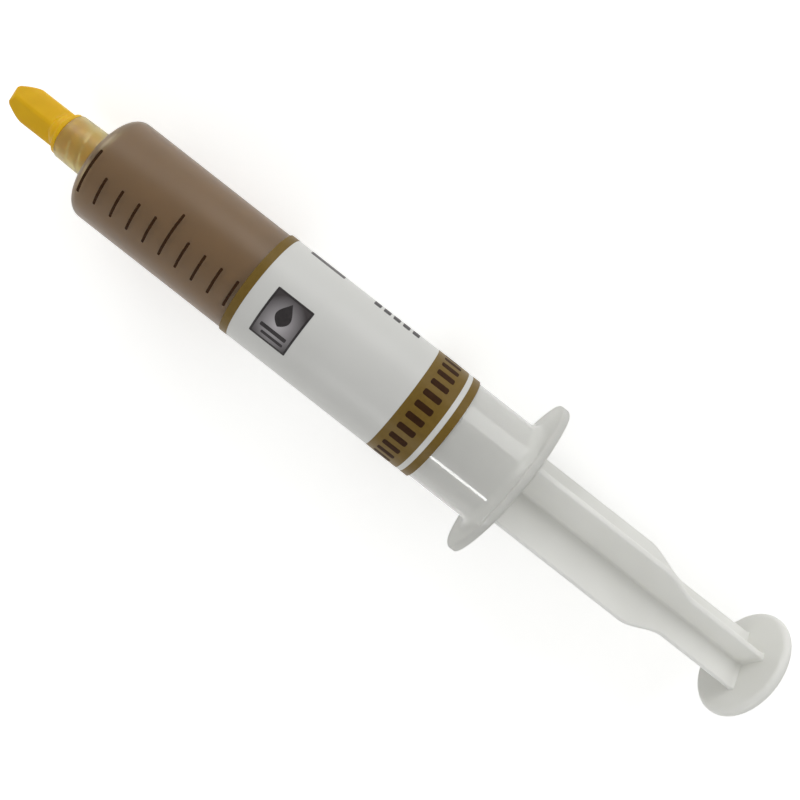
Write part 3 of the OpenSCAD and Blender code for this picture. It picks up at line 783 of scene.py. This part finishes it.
def silicone_paste():
    # Silicone paste with a metal oxide filler, pressed in from the front: dense, smooth and dull, with slow
    # swirls along the barrel.
    made, tree = material("silicone paste with oxide filler")
    place = node(tree, "ShaderNodeTexCoord").outputs["Object"]
    drawn = node(tree, "ShaderNodeMapping", [("Vector", place), ("Scale", (0.4, 1, 1))])
    swirl = node(tree, "ShaderNodeTexNoise", [
        ("Vector", drawn.outputs[0]), ("Scale", 1000 / 9), ("Detail", 2), ("Distortion", 0.6)])
    tint = node(tree, "ShaderNodeMix", [(0, swirl.outputs[0]), (6, linear("A88F69")), (7, linear("B49A74"))],
                data_type="RGBA")
    shader = node(tree, "ShaderNodeBsdfPrincipled", [
        ("Base Color", tint.outputs[2]), ("Roughness", 0.5), ("IOR", 1.45)])
    node(tree, "ShaderNodeOutputMaterial", [("Surface", shader.outputs[0])])
    return made


def moulded_rubber():
    # Butyl rubber, compression moulded: dark and satin, with a fine bloom.
    made, tree = material("moulded butyl rubber")
    place = node(tree, "ShaderNodeTexCoord").outputs["Object"]
    bloom = node(tree, "ShaderNodeTexNoise", [("Vector", place), ("Scale", 1000 / 1.5), ("Detail", 2)])
    tint = node(tree, "ShaderNodeMix", [(0, bloom.outputs[0]), (6, linear("222226")), (7, linear("323236"))],
                data_type="RGBA")
    bump = node(tree, "ShaderNodeBump", [("Height", bloom.outputs[0]), ("Distance", 0.01 * MM)])
    shader = node(tree, "ShaderNodeBsdfPrincipled", [
        ("Base Color", tint.outputs[2]), ("Roughness", 0.45), ("IOR", 1.52), ("Normal", bump.outputs[0])])
    node(tree, "ShaderNodeOutputMaterial", [("Surface", shader.outputs[0])])
    return made


def natural_polypropylene():
    # Natural polypropylene, injection moulded: milky, so light spreads inside it and edges look soft, with
    # slow shrink waves on the flat sides of the ribs.
    made, tree = material("natural moulded polypropylene")
    place = node(tree, "ShaderNodeTexCoord").outputs["Object"]
    cloud = node(tree, "ShaderNodeTexNoise", [("Vector", place), ("Scale", 1000 / 9), ("Detail", 1)])
    tint = node(tree, "ShaderNodeMix", [(0, cloud.outputs[0]), (6, linear("E0E0DC")), (7, linear("E9E9E5"))],
                data_type="RGBA")
    bump = node(tree, "ShaderNodeBump", [("Height", cloud.outputs[0]), ("Distance", 0.02 * MM)])
    shader = node(tree, "ShaderNodeBsdfPrincipled", [
        ("Base Color", tint.outputs[2]), ("Roughness", 0.33), ("IOR", 1.49), ("Subsurface Weight", 0.6),
        ("Subsurface Radius", (1, 1, 0.95)), ("Subsurface Scale", 2 * MM), ("Normal", bump.outputs[0])])
    node(tree, "ShaderNodeOutputMaterial", [("Surface", shader.outputs[0])])
    return made


def printed_film():
    # White polypropylene film, printed and varnished: satin, with a faint ripple where it was rolled on.
    made, tree = material("printed white film")
    place = node(tree, "ShaderNodeTexCoord").outputs["Object"]
    ripple = node(tree, "ShaderNodeTexNoise", [("Vector", place), ("Scale", 1000 / 11), ("Detail", 1)])
    tint = node(tree, "ShaderNodeMix", [(0, ripple.outputs[0]), (6, linear("CCCCC9")), (7, linear("D4D4D1"))],
                data_type="RGBA")
    bump = node(tree, "ShaderNodeBump", [("Height", ripple.outputs[0]), ("Distance", 0.03 * MM)])
    shader = node(tree, "ShaderNodeBsdfPrincipled", [
        ("Base Color", tint.outputs[2]), ("Roughness", 0.4), ("IOR", 1.49), ("Normal", bump.outputs[0])])
    node(tree, "ShaderNodeOutputMaterial", [("Surface", shader.outputs[0])])
    return made


def gold_ink():
    # Gold-brown ink, screen printed under varnish: satin, slightly mottled by the screen.
    made, tree = material("screen-printed gold ink")
    place = node(tree, "ShaderNodeTexCoord").outputs["Object"]
    mottle = node(tree, "ShaderNodeTexNoise", [("Vector", place), ("Scale", 1000 / 0.9), ("Detail", 2)])
    tint = node(tree, "ShaderNodeMix", [(0, mottle.outputs[0]), (6, linear("67501A")), (7, linear("775F26"))],
                data_type="RGBA")
    shader = node(tree, "ShaderNodeBsdfPrincipled", [
        ("Base Color", tint.outputs[2]), ("Roughness", 0.42), ("IOR", 1.49), ("Specular IOR Level", 0.2)])
    node(tree, "ShaderNodeOutputMaterial", [("Surface", shader.outputs[0])])
    return made


def dark_ink():
    # Near-black ink, screen printed: satin, with thin spots.
    made, tree = material("screen-printed dark ink")
    place = node(tree, "ShaderNodeTexCoord").outputs["Object"]
    thin = node(tree, "ShaderNodeTexNoise", [("Vector", place), ("Scale", 1000 / 0.7), ("Detail", 2)])
    tint = node(tree, "ShaderNodeMix", [(0, thin.outputs[0]), (6, linear("1C191A")), (7, linear("3A3536"))],
                data_type="RGBA")
    shader = node(tree, "ShaderNodeBsdfPrincipled", [
        ("Base Color", tint.outputs[2]), ("Roughness", 0.45), ("IOR", 1.49), ("Specular IOR Level", 0.3)])
    node(tree, "ShaderNodeOutputMaterial", [("Surface", shader.outputs[0])])
    return made


def brown_ink():
    # Dark brown ink, printed on the barrel and the band: matt, thinner in spots, so brown shows through.
    made, tree = material("printed brown ink")
    place = node(tree, "ShaderNodeTexCoord").outputs["Object"]
    thin = node(tree, "ShaderNodeTexNoise", [("Vector", place), ("Scale", 1000 / 0.8), ("Detail", 2)])
    tint = node(tree, "ShaderNodeMix", [(0, thin.outputs[0]), (6, linear("2A1606")), (7, linear("3D240E"))],
                data_type="RGBA")
    shader = node(tree, "ShaderNodeBsdfPrincipled", [
        ("Base Color", tint.outputs[2]), ("Roughness", 0.6), ("IOR", 1.49), ("Specular IOR Level", 0.1)])
    node(tree, "ShaderNodeOutputMaterial", [("Surface", shader.outputs[0])])
    return made


def badge_grey():
    # Silver-grey ink, printed as a fade: light below the middle of the badge and dark towards its corners.
    made, tree = material("printed silver-grey ink")
    place = node(tree, "ShaderNodeTexCoord").outputs["Object"]
    centre = spot(BADGE_PLACE + BADGE_L / 2, LABEL_R, math.radians(9))
    reach = (1 / (4.6 * MM), 1 / (5.4 * MM), 1 / (5.4 * MM))
    centred = node(tree, "ShaderNodeMapping", [
        ("Vector", place), ("Location", [-c * r for c, r in zip(centre, reach)]), ("Scale", reach)])
    fade = node(tree, "ShaderNodeTexGradient", [("Vector", centred.outputs[0])], gradient_type="SPHERICAL")
    tint = node(tree, "ShaderNodeMix", [(0, fade.outputs[1]), (6, linear("332D2E")), (7, linear("BAB6B9"))],
                data_type="RGBA")
    shader = node(tree, "ShaderNodeBsdfPrincipled", [
        ("Base Color", tint.outputs[2]), ("Roughness", 0.4), ("IOR", 1.49)])
    node(tree, "ShaderNodeOutputMaterial", [("Surface", shader.outputs[0])])
    return made


# Floor, light and camera

def studio_sweep():
    """A pale floor that curves up into a low wall all round. What looks at it sees it white, with shadows."""
    build = bmesh.new()
    flat_r, bend_r, top, steps = 1.4, 0.4, 1.4, 64
    glow = 0.48
    bends = (0.3, 0.6, 0.9, 1.2, math.pi / 2)
    rows = [(0.01, 0), (0.4, 0), (flat_r, 0)]
    rows += [(flat_r + bend_r * math.sin(a), bend_r - bend_r * math.cos(a)) for a in bends]
    rows += [(flat_r + bend_r, top)]
    turns = [2 * math.pi * i / steps for i in range(steps)]
    rings = [[build.verts.new((r * math.cos(t), r * math.sin(t), z)) for t in turns] for r, z in rows]
    build.faces.new(rings[0])
    for low, high in zip(rings, rings[1:]):
        for i in range(steps):
            j = (i + 1) % steps
            build.faces.new((low[i], low[j], high[j], high[i]))
    sweep = finish_mesh("studio_sweep", build)
    made, tree = material("matt white studio paper")
    ray = node(tree, "ShaderNodeLightPath")
    seen = node(tree, "ShaderNodeMath", [
        (0, ray.outputs["Is Camera Ray"]), (1, ray.outputs["Is Glossy Ray"])], operation="MAXIMUM")
    seen = node(tree, "ShaderNodeMath", [(0, seen.outputs[0]), (1, ray.outputs["Is Transmission Ray"])],
                operation="MAXIMUM")
    lift = node(tree, "ShaderNodeMath", [(0, seen.outputs[0]), (1, glow)], operation="MULTIPLY")
    shader = node(tree, "ShaderNodeBsdfPrincipled", [
        ("Base Color", linear("EEEEEC")), ("Roughness", 0.9), ("Emission Color", (1, 1, 1, 1)),
        ("Emission Strength", lift.outputs[0])])
    node(tree, "ShaderNodeOutputMaterial", [("Surface", shader.outputs[0])])
    sweep.data.materials.append(made)


def lamp(name, place, size, power, toward):
    """A soft rectangular lamp, with sizes and places in metres."""
    data = bpy.data.lights.new(name, "AREA")
    data.shape = "RECTANGLE"
    data.size, data.size_y = size
    data.energy = power
    made = bpy.data.objects.new(name, data)
    bpy.context.scene.collection.objects.link(made)
    made.location = place
    made.rotation_euler = (Vector(toward) - Vector(place)).to_track_quat("-Z", "Y").to_euler()


def lights():
    """An even white room, two large softboxes, and a narrow lamp for the bright line along the barrel."""
    world = bpy.data.worlds.new("studio")
    bpy.context.scene.world = world
    world.use_nodes = True
    world.node_tree.nodes["Background"].inputs["Color"].default_value = (1, 1, 1, 1)
    world.node_tree.nodes["Background"].inputs["Strength"].default_value = 0.52
    lamp("key softbox", (0, 0.74, 0.32), (0.6, 0.5), 1.9, (0, 0, AXIS_Z))
    lamp("front softbox", (-0.62, 0.46, 0.3), (0.4, 0.4), 1.6, (0, 0, AXIS_Z))
    side, away = math.radians(48), 0.4
    lamp("strip lamp", (0.07, -away * math.sin(side), AXIS_Z + away * math.cos(side)), (0.16, 0.04), 0.26,
         (0.02, 0, AXIS_Z))


def camera():
    """The photograph's view: from above, tilted a little about the syringe's axis and turned as it lies."""
    picture = 800
    sensor = 36
    distance_px, distance = 780, 142
    foot_place = 57.8
    tilt, turn = math.radians(10), math.radians(38.1)
    principal = (358, 362)
    data = bpy.data.cameras.new("camera")
    data.sensor_width = sensor
    data.lens = sensor * distance_px / picture
    data.shift_x = (picture / 2 - principal[0]) / picture
    data.shift_y = -(picture / 2 - principal[1]) / picture
    data.clip_start = 0.01
    made = bpy.data.objects.new("camera", data)
    bpy.context.scene.collection.objects.link(made)
    away = distance * MM
    made.location = (SHOULDER_X + foot_place * MM, away * math.sin(tilt), AXIS_Z + away * math.cos(tilt))
    made.rotation_euler = (Euler((-tilt, 0, 0)).to_matrix() @ Euler((0, 0, turn)).to_matrix()).to_euler()
    bpy.context.scene.camera = made


barrel(clear_polypropylene())
tip_cap(yellow_polypropylene())
paste(silicone_paste())
piston_seal(moulded_rubber())
plunger(natural_polypropylene())
label_and_print()
studio_sweep()
lights()
camera()
bpy.context.scene.view_settings.view_transform = "Standard"
